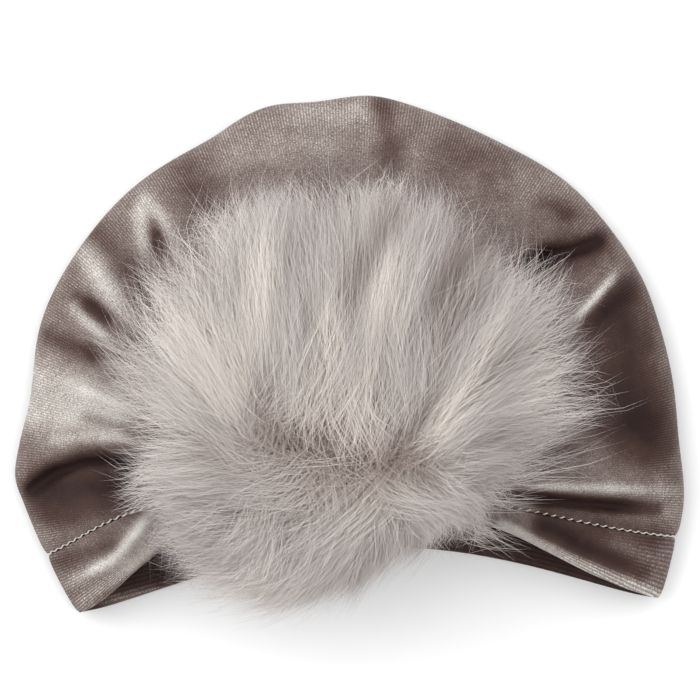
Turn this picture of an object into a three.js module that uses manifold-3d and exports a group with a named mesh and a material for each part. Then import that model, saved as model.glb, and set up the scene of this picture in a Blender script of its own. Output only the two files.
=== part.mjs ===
// A small stretch-velvet turban with a long-haired pompom, lying on its back as laid on a table.
//
// Millimetres, +Z up, +Y towards the crown's top, +X to the wearer's left.
// The origin is on the table, under the middle of the back panel, so the back rests at z = 0.
import * as THREE from "three";
import { mergeVertices } from "three/addons/utils/BufferGeometryUtils.js";
import Module from "manifold-3d";

// Driving sizes of the velvet bag
const GATHER = { x: 0, y: -40 }; // where every fold runs to, under the pompom
const RUCHE = { low: -50, high: -38, rows: 6, hemRows: 2 }; // the gathered line, centre front
const BACK_MIDDLE = { x: 0, y: 8 };
const CLOTH = 1.5; // one layer of velvet
const HEM_CLOTH = 3.0; // the hem is turned up, so it is two layers
const HEM_ROLL = 1.1; // how far the fold at the hem's edge rounds past the cut of its layers
const HEM_PINCH = 1.6; // the stitching presses the two layers down to this
const SEAM_GAP = 0.4; // groove that the hem's stitching pulls between hem and crown
const EDGE_HEIGHT = 5.5; // height of the fold where front turns into back
const FRONT_RISE = 18; // how far the front stands above that fold
const FRONT_ROLL = { crown: 30, hem: 62, from: -25, to: -78 }; // how far in it takes to rise, by y
const BACK_ROLL = 11; // how far in from the outline the back lies flat
const DIMPLE = { depth: 4, radius: 16 }; // the gather pulls the front down here

// The outline of the flat-laid bag, as seen from above: reach from the gather at each angle.
const OUTLINE = [
  { angle: -20.0, reach: 99.9 },
  { angle: -10.7, reach: 99.8 },
  { angle: -2.9, reach: 100.7 },
  { angle: 7.5, reach: 99.8 },
  { angle: 17.7, reach: 102.0 },
  { angle: 27.9, reach: 104.9 },
  { angle: 34.4, reach: 107.3 },
  { angle: 47.1, reach: 110.2 },
  { angle: 53.8, reach: 111.7 },
  { angle: 66.3, reach: 112.1 },
  { angle: 74.7, reach: 113.6 },
  { angle: 81.8, reach: 115.6 },
  { angle: 86.8, reach: 117.0 },
  { angle: 95.2, reach: 115.2 },
  { angle: 101.9, reach: 116.3 },
  { angle: 106.7, reach: 114.7 },
  { angle: 112.1, reach: 111.8 },
  { angle: 125.9, reach: 110.5 },
  { angle: 138.6, reach: 108.0 },
  { angle: 151.9, reach: 105.1 },
  { angle: 164.6, reach: 99.6 },
  { angle: 171.8, reach: 100.0 },
  { angle: 176.6, reach: 100.8 },
  { angle: 179.0, reach: 101.3 },
  { angle: 182.2, reach: 99.1 },
  { angle: 186.5, reach: 96.9 },
  { angle: 191.3, reach: 94.8 },
  { angle: 198.2, reach: 92.8 },
  { angle: 205.1, reach: 91.2 },
];
const RIGHT_EDGE = OUTLINE[0].angle;
const LEFT_EDGE = OUTLINE[OUTLINE.length - 1].angle;
const RIGHT_STITCH = -9.2; // where the hem's stitching meets the outline
const LEFT_STITCH = 193.2;

// The folds that run out from the gather. Height is a ridge above 0 and a valley below it, width is
// the angle from crest to flank, and near and far are the shares of the reach where it is full.
const FOLDS = [
  { angle: -14.5, height: 2.2, width: 2.8, near: 0.5, far: 0.9 },
  { angle: -4.6, height: -4.6, width: 2.4, near: 0.5, far: 0.9 },
  { angle: 0.2, height: 4.2, width: 2.6, near: 0.5, far: 0.95 },
  { angle: 17.0, height: -3.6, width: 7.0, near: 0.5, far: 0.8 },
  { angle: 29.5, height: 1.6, width: 4.0, near: 0.5, far: 0.85 },
  { angle: 39.5, height: 4.4, width: 2.8, near: 0.45, far: 0.85 },
  { angle: 47.5, height: -5.2, width: 3.2, near: 0.45, far: 0.85 },
  { angle: 55.0, height: -1.8, width: 3.4, near: 0.5, far: 0.9 },
  { angle: 63.5, height: 2.2, width: 4.2, near: 0.5, far: 0.85 },
  { angle: 77.0, height: 2.0, width: 4.4, near: 0.5, far: 0.95 },
  { angle: 87.5, height: -3.4, width: 3.6, near: 0.5, far: 0.9 },
  { angle: 102.0, height: 3.2, width: 6.0, near: 0.5, far: 0.95 },
  { angle: 117.0, height: -3.8, width: 3.4, near: 0.5, far: 0.85 },
  { angle: 125.5, height: 4.2, width: 3.4, near: 0.5, far: 0.85 },
  { angle: 135.0, height: -4.2, width: 3.2, near: 0.5, far: 0.9 },
  { angle: 140.6, height: 3.0, width: 2.8, near: 0.5, far: 0.9 },
  { angle: 147.0, height: -1.6, width: 2.6, near: 0.5, far: 0.85 },
  { angle: 154.5, height: -3.4, width: 3.0, near: 0.45, far: 0.9 },
  { angle: 161.0, height: 1.8, width: 3.2, near: 0.45, far: 0.9 },
  { angle: 169.5, height: 5.0, width: 3.6, near: 0.5, far: 0.9 },
  { angle: 178.5, height: -6.0, width: 4.0, near: 0.5, far: 0.85 },
  { angle: 193.5, height: -1.4, width: 2.4, near: 0.5, far: 0.95 },
  { angle: 199.5, height: 2.4, width: 3.0, near: 0.5, far: 0.85 },
];
const FOLD_FADE = 0.2; // share of the reach over which a fold starts, and dies at the outline

// The front's hem is drawn up towards the gather, so its edge and its stitching bow upwards on each
// side. A peak under 1 moves the bow in towards the gather, and sharp straightens its two ends.
const BOW = {
  right: {
    edge: { height: 9, peak: 0.7, sharp: 2 },
    stitch: { height: 4.5, peak: 0.7, sharp: 2 },
  },
  left: {
    edge: { height: 15.8, peak: 1, sharp: 2 },
    stitch: { height: 9.4, peak: 1.45, sharp: 1.3 },
  },
  fade: 48, // degrees from the hem's edge to where the crown's folds run straight
};
const BACK_ARCH = { height: 18, bluntness: 1.35, fade: 0.75 }; // the back's hem rises to its middle

// The pompom: long hair parted at the top and laid outwards from there, sewn on by a plain backing
const POM = {
  heart: new THREE.Vector3(0, -16, 46), // the middle, from which every size is taken
  up: 42, // how far the hair stands above the heart
  down: 40,
  parting: 32, // lean of the parting from upright, towards the hem
  packed: 0.84, // share of the reach within which the hair is too close to part
  clearance: 0.6, // least gap between the hair and the velvet under it
  overhang: { from: -50, to: -76, low: 18 }, // hair past the hem droops to this height
};
// How far the hair reaches over the velvet, seen from above, by the turn from +X.
const POM_PLAN = [
  { turn: 0, reach: 66 },
  { turn: 15, reach: 69 },
  { turn: 30, reach: 69 },
  { turn: 45, reach: 68 },
  { turn: 60, reach: 68 },
  { turn: 75, reach: 68 },
  { turn: 90, reach: 68 },
  { turn: 105, reach: 68 },
  { turn: 120, reach: 68 },
  { turn: 135, reach: 69 },
  { turn: 150, reach: 69 },
  { turn: 165, reach: 67 },
  { turn: 180, reach: 66 },
  { turn: 195, reach: 67 },
  { turn: 210, reach: 69 },
  { turn: 225, reach: 70 },
  { turn: 240, reach: 67 },
  { turn: 255, reach: 64 },
  { turn: 270, reach: 59 },
  { turn: 285, reach: 49 },
  { turn: 300, reach: 48 },
  { turn: 315, reach: 52 },
  { turn: 330, reach: 48 },
  { turn: 345, reach: 54 },
];
// Rings of locks out from the parting: where they leave the packed hair, how far they are combed
// over on the way to the tip, their share of the full reach and their width at the fullest.
const LOCK_RINGS = [
  { root: 6, comb: 34, locks: 6, share: 0.96, width: 19 },
  { root: 28, comb: 30, locks: 11, share: 0.99, width: 20 },
  { root: 48, comb: 26, locks: 14, share: 1.02, width: 21 },
  { root: 66, comb: 20, locks: 16, share: 1.04, width: 21 },
  { root: 84, comb: 13, locks: 17, share: 1.05, width: 20 },
  { root: 101, comb: 7, locks: 15, share: 1.0, width: 18 },
];
const LOCK_STATIONS = [
  { along: 0, girth: 0.85 },
  { along: 0.4, girth: 1 },
  { along: 0.74, girth: 0.72 },
  { along: 1, girth: 0 },
];
const LOCK_ROOT = 0.7; // share of the reach at which a lock starts
const LOCK_FLATNESS = 0.42;
const LOCK_VARIETY = 0.07; // how unlike each other the locks of a ring are
const LOCK_STAGGER = 0.25;
const LOCK_SIDES = 4;
const PACKED_TURNS = 22;
const PACKED_RINGS = 13;
const BACKING = { y: -34, radius: 12, height: 3, sides: 24 };
const SEAT_SPREAD = 8; // the hair lies on the highest velvet within this distance
const SEAT_STEP = 30; // degrees between the places where that height is taken

// Sampling of the bag's surface
const CROWN_RIBS = 76;
const HEM_RIBS = 3;
const HEM_BACK_COLUMNS = 24;
const FRONT_STATIONS = [0, 0.12, 0.25, 0.38, 0.5, 0.6, 0.7, 0.78, 0.86, 0.92, 0.965, 0.99, 1];
const BACK_STATIONS = [1.0, 3.6, 13.0]; // distances in from the outline, then the middle
const OUTLINE_STEPS = 150;
const SLOPE_STEP = 0.2; // half the span over which a slope is taken
const EDGE_STEP = 1; // the same along the outline, in degrees
const SAME_POINT = 1e-4;

const rad = THREE.MathUtils.degToRad;
const lerp = THREE.MathUtils.lerp;
const smooth = THREE.MathUtils.smoothstep;

// The angle of a point about the gather, from -90 on the right round over the top.
function angleOf(x, y) {
  const angle = THREE.MathUtils.radToDeg(Math.atan2(y - GATHER.y, x - GATHER.x));
  return angle < -90 ? angle + 360 : angle;
}

// The outline's reach at an angle, by a curve through the table's rows.
function reachAt(angle) {
  const a = THREE.MathUtils.clamp(angle, RIGHT_EDGE, LEFT_EDGE);
  let i = 0;
  while (i < OUTLINE.length - 2 && OUTLINE[i + 1].angle < a) i++;
  const [p, q] = [OUTLINE[i], OUTLINE[i + 1]];
  const before = OUTLINE[Math.max(i - 1, 0)];
  const after = OUTLINE[Math.min(i + 2, OUTLINE.length - 1)];
  const span = q.angle - p.angle;
  const t = (a - p.angle) / span;
  const slopeP = ((q.reach - before.reach) / (q.angle - before.angle)) * span;
  const slopeQ = ((after.reach - p.reach) / (after.angle - p.angle)) * span;
  const t2 = t * t;
  const t3 = t2 * t;
  return (
    (2 * t3 - 3 * t2 + 1) * p.reach +
    (t3 - 2 * t2 + t) * slopeP +
    (3 * t2 - 2 * t3) * q.reach +
    (t3 - t2) * slopeQ
  );
}

function outlinePoint(angle) {
  const r = reachAt(angle);
  return { x: GATHER.x + r * Math.cos(rad(angle)), y: GATHER.y + r * Math.sin(rad(angle)) };
}

const outlineLine = Array.from({ length: OUTLINE_STEPS + 1 }, (_, i) =>
  outlinePoint(lerp(RIGHT_EDGE, LEFT_EDGE, i / OUTLINE_STEPS)),
);

// How far a point of the plan lies in from the outline.
function depthIn(x, y) {
  let best = Infinity;
  for (let i = 0; i < OUTLINE_STEPS; i++) {
    const [a, b] = [outlineLine[i], outlineLine[i + 1]];
    const [dx, dy] = [b.x - a.x, b.y - a.y];
    const along = ((x - a.x) * dx + (y - a.y) * dy) / (dx * dx + dy * dy);
    const t = THREE.MathUtils.clamp(along, 0, 1);
    best = Math.min(best, Math.hypot(x - a.x - dx * t, y - a.y - dy * t));
  }
  return best;
}

// A quarter of an ellipse: 0 at the outline, where it stands upright, to 1 at the end of its roll.
function roll(depth, width) {
  const left = 1 - Math.min(depth / width, 1);
  return Math.sqrt(1 - left * left);
}

function foldHeight(angle, share) {
  let z = 0;
  for (const fold of FOLDS) {
    const off = (angle - fold.angle) / fold.width;
    const start = smooth(share, fold.near - FOLD_FADE, fold.near);
    const end = 1 - smooth(share, fold.far, fold.far + FOLD_FADE);
    z += fold.height * Math.exp(-off * off) * start * end;
  }
  return z;
}

// Height of the front's outer face over a point of the plan.
function frontHeight(x, y) {
  const r = Math.hypot(x - GATHER.x, y - GATHER.y);
  const angle = angleOf(x, y);
  const share = r / reachAt(angle);
  const hemward = smooth(-y, -FRONT_ROLL.from, -FRONT_ROLL.to);
  const rise = roll(depthIn(x, y), lerp(FRONT_ROLL.crown, FRONT_ROLL.hem, hemward));
  const pull = DIMPLE.depth * Math.exp(-((r / DIMPLE.radius) ** 2));
  return EDGE_HEIGHT + FRONT_RISE * rise - pull + foldHeight(angle, share) * rise;
}

// Height of the back's outer face, which lies on the table but for its rolled edge.
function backHeight(x, y) {
  return EDGE_HEIGHT * (1 - roll(depthIn(x, y), BACK_ROLL));
}

// How far one side's bow lifts a rib that lies some degrees past the hem's edge.
function bowLift({ edge, stitch }, past, hem, share) {
  const t = Math.min(past / hem, 1);
  const peak = lerp(edge.peak, stitch.peak, t);
  const sharp = lerp(edge.sharp, stitch.sharp, t);
  const height = lerp(edge.height, stitch.height, t) * (1 - smooth(past, hem, BOW.fade));
  return height * Math.max(Math.sin(Math.PI * share ** peak), 0) ** sharp;
}

// A point of the front: a rib runs from the ruched line to the outline, bowed near the hem.
function frontPoint(angle, share, rucheRow) {
  const end = outlinePoint(angle);
  if (share === 1) return new THREE.Vector3(end.x, end.y, EDGE_HEIGHT);
  const start = lerp(RUCHE.low, RUCHE.high, Math.min(rucheRow / RUCHE.rows, 1));
  const rightBow = bowLift(BOW.right, angle - RIGHT_EDGE, RIGHT_STITCH - RIGHT_EDGE, share);
  const leftBow = bowLift(BOW.left, LEFT_EDGE - angle, LEFT_EDGE - LEFT_STITCH, share);
  const x = lerp(GATHER.x, end.x, share);
  const y = lerp(start, end.y, share) + rightBow + leftBow;
  return new THREE.Vector3(x, y, frontHeight(x, y));
}

// A line across the back from the outline's left point to its right one.
// Row 0 is the hem's edge and row 1 its stitching.
function backPoint(row, column) {
  const left = outlinePoint(lerp(LEFT_EDGE, LEFT_STITCH, row));
  const right = outlinePoint(lerp(RIGHT_EDGE, RIGHT_STITCH, row));
  const arch = BACK_ARCH.height * lerp(1, BACK_ARCH.fade, row);
  const x = lerp(left.x, right.x, column);
  const lift = arch * (4 * column * (1 - column)) ** BACK_ARCH.bluntness;
  const y = lerp(left.y, right.y, column) + lift;
  const ends = column === 0 || column === 1;
  return new THREE.Vector3(x, y, ends ? EDGE_HEIGHT : backHeight(x, y));
}

function slopeOf(height, x, y) {
  const across = height(x + SLOPE_STEP, y) - height(x - SLOPE_STEP, y);
  const along = height(x, y + SLOPE_STEP) - height(x, y - SLOPE_STEP);
  return [across / (2 * SLOPE_STEP), along / (2 * SLOPE_STEP)];
}

// The way that the bag's outer face looks at one of its points: level along the outline, where
// front turns into back, and off the slope of the front above it or of the back below it.
function outward({ x, y, z }) {
  if (z === EDGE_HEIGHT) {
    const angle = angleOf(x, y);
    const [p, q] = [outlinePoint(angle - EDGE_STEP), outlinePoint(angle + EDGE_STEP)];
    return new THREE.Vector3(q.y - p.y, p.x - q.x, 0).normalize();
  }
  const side = z > EDGE_HEIGHT ? 1 : -1;
  const [dx, dy] = slopeOf(side > 0 ? frontHeight : backHeight, x, y);
  return new THREE.Vector3(-dx, -dy, 1).normalize().multiplyScalar(side);
}

// An open sheet of points and triangles, with shared points kept once.
class Sheet {
  constructor() {
    this.points = [];
    this.triangles = [];
    this.known = new Map();
  }
  add(point) {
    const key = point.toArray().map((v) => Math.round(v * 1e4)).join();
    if (!this.known.has(key)) {
      this.known.set(key, this.points.length);
      this.points.push(point.clone());
    }
    return this.known.get(key);
  }
  triangle(a, b, c) {
    const [i, j, k] = [this.add(a), this.add(b), this.add(c)];
    if (i !== j && j !== k && k !== i) this.triangles.push([i, j, k]);
  }
  quad(a, b, c, d) {
    this.triangle(a, b, c);
    this.triangle(a, c, d);
  }
  // Joins two lines of as many points: the surface lies to the left of the first line.
  strip(first, second) {
    for (let i = 0; i + 1 < first.length; i++) {
      this.quad(first[i], first[i + 1], second[i + 1], second[i]);
    }
  }
  // The sheet as the outer face of a wall, with a rounded rim where roundOut is above 0.
  thicken(wallAt, roundOut = () => 0) {
    const count = this.points.length;
    const normals = this.points.map(outward);
    const inner = this.points.map((p, i) => p.clone().addScaledVector(normals[i], -wallAt(p)));
    const points = [...this.points, ...inner];
    const faces = [];
    const edges = new Map();
    for (const [a, b, c] of this.triangles) {
      faces.push([a, b, c], [c + count, b + count, a + count]);
      for (const [from, to] of [[a, b], [b, c], [c, a]]) edges.set(from + "," + to, [from, to]);
    }
    const rim = [...edges.values()].filter(([from, to]) => !edges.has(to + "," + from));
    const sideways = new Map();
    for (const [from, to] of rim) {
      const along = new THREE.Vector3().subVectors(points[to], points[from]).normalize();
      for (const i of [from, to]) {
        const side = along.clone().cross(normals[i]);
        sideways.set(i, (sideways.get(i) ?? new THREE.Vector3()).add(side));
      }
    }
    const middle = new Map();
    for (const [i, side] of sideways) {
      const by = roundOut(points[i]);
      if (by <= 0) continue;
      const centre = points[i].clone().add(points[i + count]).multiplyScalar(0.5);
      middle.set(i, points.push(centre.addScaledVector(side.normalize(), by)) - 1);
    }
    for (const [from, to] of rim) {
      const loop = [to, from];
      if (middle.has(from)) loop.push(middle.get(from));
      loop.push(from + count, to + count);
      if (middle.has(to)) loop.push(middle.get(to));
      faces.push(...fan(loop));
    }
    return geometryOf(points, faces);
  }
}

// The triangles that fill a loop of points: across the middle where the rim is rounded.
function fan(loop) {
  if (loop.length !== 6) return loop.slice(2).map((point, i) => [loop[0], loop[i + 1], point]);
  const [to, from, midFrom, innerFrom, innerTo, midTo] = loop;
  return [
    [to, from, midFrom],
    [to, midFrom, midTo],
    [midTo, midFrom, innerFrom],
    [midTo, innerFrom, innerTo],
  ];
}

function geometryOf(points, faces) {
  const geometry = new THREE.BufferGeometry().setFromPoints(points);
  geometry.setIndex(faces.flat());
  return geometry;
}

// The angles and ruche rows of the ribs on one side of the hem, from its edge to its stitching.
function hemRibs(edge, stitch) {
  return Array.from({ length: HEM_RIBS + 1 }, (_, i) => ({
    angle: lerp(edge, stitch, i / HEM_RIBS),
    row: (RUCHE.hemRows * i) / HEM_RIBS,
  }));
}

// The crown's ribs from the right stitching over the top to the left one.
function crownRibs() {
  return Array.from({ length: CROWN_RIBS + 1 }, (_, i) => ({
    angle: lerp(RIGHT_STITCH, LEFT_STITCH, i / CROWN_RIBS),
    row: RUCHE.hemRows + Math.min(i, CROWN_RIBS - i),
  }));
}

const ribLine = ({ angle, row }) => FRONT_STATIONS.map((share) => frontPoint(angle, share, row));

// The crown: a gathered front and a plain back in one piece of velvet, open at the hem.
function makeCrown() {
  const sheet = new Sheet();
  const ribs = crownRibs();
  const lines = ribs.map(ribLine);
  for (let i = 0; i + 1 < lines.length; i++) sheet.strip(lines[i], lines[i + 1]);

  const columns = Array.from({ length: HEM_BACK_COLUMNS + 1 }, (_, i) => i / HEM_BACK_COLUMNS);
  const stitching = columns.map((column) => backPoint(1, column));
  const loop = [...ribs.map(({ angle }) => frontPoint(angle, 1, 0)), ...stitching.slice(1, -1)];
  const middle = new THREE.Vector3(BACK_MIDDLE.x, BACK_MIDDLE.y, 0);
  const inward = (point, distance) => {
    const towards = new THREE.Vector2(middle.x - point.x, middle.y - point.y);
    towards.setLength(distance);
    const [x, y] = [point.x + towards.x, point.y + towards.y];
    return new THREE.Vector3(x, y, backHeight(x, y));
  };
  const rings = [loop, ...BACK_STATIONS.map((d) => loop.map((point) => inward(point, d)))];
  loop.forEach((_, i) => {
    const next = (i + 1) % loop.length;
    for (let k = 0; k + 1 < rings.length; k++) {
      sheet.quad(rings[k][next], rings[k][i], rings[k + 1][i], rings[k + 1][next]);
    }
    const last = rings[rings.length - 1];
    sheet.triangle(last[next], last[i], middle);
  });
  return sheet.thicken(() => CLOTH);
}

// The hem: the crown's edge turned up inside, a band right round the opening.
function makeHem() {
  const sheet = new Sheet();
  const [right, left] = [hemRibs(RIGHT_EDGE, RIGHT_STITCH), hemRibs(LEFT_EDGE, LEFT_STITCH)];
  right[HEM_RIBS].angle -= THREE.MathUtils.radToDeg(SEAM_GAP / reachAt(RIGHT_STITCH));
  left[HEM_RIBS].angle += THREE.MathUtils.radToDeg(SEAM_GAP / reachAt(LEFT_STITCH));
  const trim = (SEAM_GAP / (RUCHE.high - RUCHE.low)) * RUCHE.rows;
  right[HEM_RIBS].row -= trim;
  left[HEM_RIBS].row -= trim;
  const rightLines = right.map(ribLine);
  const leftLines = left.map(ribLine);
  for (let i = 0; i < HEM_RIBS; i++) {
    sheet.strip(rightLines[i], rightLines[i + 1]);
    sheet.strip(leftLines[i + 1], leftLines[i]);
  }
  const columns = Array.from({ length: HEM_BACK_COLUMNS + 1 }, (_, i) => i / HEM_BACK_COLUMNS);
  const backRows = right.map((rib, i) => {
    const row = (rib.angle - RIGHT_EDGE) / (RIGHT_STITCH - RIGHT_EDGE);
    const line = columns.map((column) => backPoint(row, column));
    line[0] = leftLines[i][FRONT_STATIONS.length - 1];
    line[HEM_BACK_COLUMNS] = rightLines[i][FRONT_STATIONS.length - 1];
    return line;
  });
  for (let i = 0; i < HEM_RIBS; i++) sheet.strip(backRows[i + 1], backRows[i]);
  const pointsOf = (row) => {
    const all = [rightLines[row], leftLines[row], backRows[row]].flat();
    return new Set(all.map((point) => sheet.points[sheet.add(point)]));
  };
  const [edge, stitched] = [pointsOf(0), pointsOf(HEM_RIBS)];
  return sheet.thicken(
    (point) => (stitched.has(point) ? HEM_PINCH : HEM_CLOTH),
    (point) => (edge.has(point) ? HEM_ROLL : 0),
  );
}

// A value from -1 to 1 that differs from lock to lock and is the same each time.
function spread(n) {
  const value = Math.sin(n * 12.9898) * 43758.5453;
  return 2 * (value - Math.floor(value)) - 1;
}

function planReach(turn) {
  const step = 360 / POM_PLAN.length;
  const place = (((turn % 360) + 360) % 360) / step;
  const i = Math.floor(place);
  const mix = (1 - Math.cos(Math.PI * (place - i))) / 2;
  return lerp(POM_PLAN[i].reach, POM_PLAN[(i + 1) % POM_PLAN.length].reach, mix);
}

// The highest point of the crown's front under a disc.
function seatHeight(x, y, radius) {
  let top = frontHeight(x, y);
  for (let turn = 0; turn < 360; turn += SEAT_STEP) {
    const [dx, dy] = [radius * Math.cos(rad(turn)), radius * Math.sin(rad(turn))];
    top = Math.max(top, frontHeight(x + dx, y + dy), frontHeight(x + dx / 2, y + dy / 2));
  }
  return top;
}

// A point of the hair at a share of its reach, by the polar angle and turn about the parting.
function hairPoint(polar, turn, share) {
  const lean = POM.parting * Math.max(Math.cos(rad(polar)), 0);
  const way = new THREE.Vector3().setFromSphericalCoords(1, rad(polar), rad(turn));
  way.set(way.x, -way.z, way.y).applyAxisAngle(new THREE.Vector3(1, 0, 0), rad(lean));
  const side = planReach(THREE.MathUtils.radToDeg(Math.atan2(way.y, way.x)));
  const upright = way.z > 0 ? POM.up : POM.down;
  const reach = 1 / Math.hypot(Math.hypot(way.x, way.y) / side, way.z / upright);
  const point = way.multiplyScalar(reach * share).add(POM.heart);
  const past = smooth(-point.y, -POM.overhang.from, -POM.overhang.to);
  const velvet = seatHeight(point.x, point.y, SEAT_SPREAD) + POM.clearance;
  point.z = Math.max(point.z, lerp(velvet, POM.overhang.low, past));
  return point;
}

// A lock's middle line, from the packed hair out to its tip.
function lockLine(ring, index, number) {
  const place = index + (number % 2) / 2 + LOCK_STAGGER * spread(number);
  const length = ring.share * (1 + LOCK_VARIETY * spread(number + 0.5));
  return LOCK_STATIONS.map(({ along, girth }) => {
    const polar = ring.root + ring.comb * along;
    const point = hairPoint(polar, (360 * place) / ring.locks, lerp(LOCK_ROOT, length, along));
    point.z += (ring.width * LOCK_FLATNESS * girth) / 2;
    return point;
  });
}

// A closed blade along a line: a flattened section that narrows to the tip.
function lockGeometry(line, width) {
  const points = [];
  const faces = [];
  const up = new THREE.Vector3();
  const [side, along] = [new THREE.Vector3(), new THREE.Vector3()];
  const last = line.length - 1;
  for (let k = 0; k < last; k++) {
    along.subVectors(line[k + 1], line[Math.max(k - 1, 0)]).normalize();
    up.subVectors(line[k], POM.heart).normalize();
    side.crossVectors(along, up).normalize();
    up.crossVectors(side, along).normalize();
    const half = (width * LOCK_STATIONS[k].girth) / 2;
    for (let m = 0; m < LOCK_SIDES; m++) {
      const turn = (2 * Math.PI * m) / LOCK_SIDES;
      const point = line[k].clone().addScaledVector(side, half * Math.cos(turn));
      points.push(point.addScaledVector(up, half * LOCK_FLATNESS * Math.sin(turn)));
    }
  }
  const tip = points.push(line[last].clone()) - 1;
  const root = points.push(line[0].clone()) - 1;
  for (let m = 0; m < LOCK_SIDES; m++) {
    const next = (m + 1) % LOCK_SIDES;
    faces.push([root, m, next]);
    for (let k = 0; k + 1 < last; k++) {
      const [a, b] = [k * LOCK_SIDES, (k + 1) * LOCK_SIDES];
      faces.push([a + m, b + m, b + next], [a + m, b + next, a + next]);
    }
    const end = (last - 1) * LOCK_SIDES;
    faces.push([end + m, tip, end + next]);
  }
  return geometryOf(points, faces);
}

// The packed hair: the whole ball within the locks, flattened where it lies on the velvet.
function packedHair() {
  const ball = new THREE.SphereGeometry(1, PACKED_TURNS, PACKED_RINGS);
  const place = ball.getAttribute("position");
  const way = new THREE.Spherical();
  for (let i = 0; i < place.count; i++) {
    way.setFromCartesianCoords(place.getX(i), place.getY(i), place.getZ(i));
    const [polar, turn] = [way.phi, way.theta].map(THREE.MathUtils.radToDeg);
    const point = hairPoint(polar, turn, POM.packed);
    place.setXYZ(i, point.x, point.y, point.z);
  }
  return ball;
}

const wasm = await Module();
wasm.setup();

function solidOf(geometry) {
  geometry.deleteAttribute("normal");
  geometry.deleteAttribute("uv");
  const merged = mergeVertices(geometry, SAME_POINT);
  return new wasm.Manifold(
    new wasm.Mesh({
      numProp: 3,
      vertProperties: new Float32Array(merged.attributes.position.array),
      triVerts: new Uint32Array(merged.index.array),
    }),
  );
}

function geometryFrom(solid) {
  const { vertProperties, triVerts } = solid.getMesh();
  const geometry = new THREE.BufferGeometry();
  geometry.setAttribute("position", new THREE.BufferAttribute(vertProperties, 3));
  geometry.setIndex(new THREE.BufferAttribute(triVerts, 1));
  return geometry;
}

// The pompom's plain backing, a disc that is sewn down on the gather. It may be grown all round.
function makeBacking(grow = 0) {
  const [radius, height] = [BACKING.radius + grow, BACKING.height + 2 * grow];
  const disc = new THREE.CylinderGeometry(radius, radius, height, BACKING.sides);
  const seat = seatHeight(GATHER.x, BACKING.y, BACKING.radius) + SEAM_GAP;
  disc.rotateX(Math.PI / 2);
  disc.translate(GATHER.x, BACKING.y, seat + BACKING.height / 2);
  return disc;
}

// The pompom: packed hair and its locks as one body, with a hollow below for the backing.
function makePompom() {
  let whole = solidOf(packedHair());
  let number = 0;
  for (const ring of LOCK_RINGS) {
    for (let i = 0; i < ring.locks; i++) {
      whole = whole.add(solidOf(lockGeometry(lockLine(ring, i, number), ring.width)));
      number += 1;
    }
  }
  whole = whole.subtract(solidOf(makeBacking(SEAM_GAP)));
  // Small spaces shut in between the locks are filled: the outer skin alone is kept.
  const skins = whole.decompose().sort((a, b) => b.volume() - a.volume());
  return geometryFrom(skins[0]);
}

const VELVET = { color: 0x7d6f69, roughness: 0.62, metalness: 0 };
const FUR = { color: 0xc9c0ba, roughness: 0.9, metalness: 0 };

function piece(name, geometry, finish) {
  const mesh = new THREE.Mesh(geometry, new THREE.MeshStandardMaterial(finish));
  mesh.name = name;
  return mesh;
}

const turban = new THREE.Group();
turban.add(
  piece("crown", makeCrown(), VELVET),
  piece("hem", makeHem(), VELVET),
  piece("pompom_backing", makeBacking(), FUR),
  piece("pompom", makePompom(), FUR),
);

export default turban;
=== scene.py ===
# A small child's stretch-velvet turban with a long-haired pompom, laid flat on its back.
# Metres, +Z up, +Y towards the crown's top, +X to the wearer's left.
import math

import bpy
import numpy as np
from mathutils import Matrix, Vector
from mathutils.bvhtree import BVHTree


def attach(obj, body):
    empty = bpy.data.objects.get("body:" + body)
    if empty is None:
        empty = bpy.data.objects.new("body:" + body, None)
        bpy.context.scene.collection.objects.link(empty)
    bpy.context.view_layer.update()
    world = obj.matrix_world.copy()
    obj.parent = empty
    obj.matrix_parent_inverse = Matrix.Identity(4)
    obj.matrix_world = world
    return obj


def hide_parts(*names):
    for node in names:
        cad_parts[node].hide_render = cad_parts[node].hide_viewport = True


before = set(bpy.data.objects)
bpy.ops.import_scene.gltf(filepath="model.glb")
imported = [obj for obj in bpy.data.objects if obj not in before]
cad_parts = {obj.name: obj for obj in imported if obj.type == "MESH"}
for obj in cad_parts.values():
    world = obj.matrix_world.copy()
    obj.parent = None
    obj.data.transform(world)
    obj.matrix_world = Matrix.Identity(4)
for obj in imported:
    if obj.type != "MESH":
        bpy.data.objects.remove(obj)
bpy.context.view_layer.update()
MM = 0.001


# The camera
# The hat lies on a table and is seen from straight above through a long lens, which takes in 210 mm
# of the table and so shows the hat almost without perspective.
VIEW_WIDTH = 210 * MM
CAMERA_HEIGHT = 3.0
OUTLINE_HEIGHT = 5.5 * MM
SENSOR_MM = 36.0

bpy.ops.object.camera_add(location=(0, 0, CAMERA_HEIGHT), rotation=(0, 0, 0))
camera = bpy.context.object
camera.data.sensor_width = SENSOR_MM
camera.data.lens = SENSOR_MM * (CAMERA_HEIGHT - OUTLINE_HEIGHT) / VIEW_WIDTH
camera.data.clip_end = 20
bpy.context.scene.camera = camera


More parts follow.
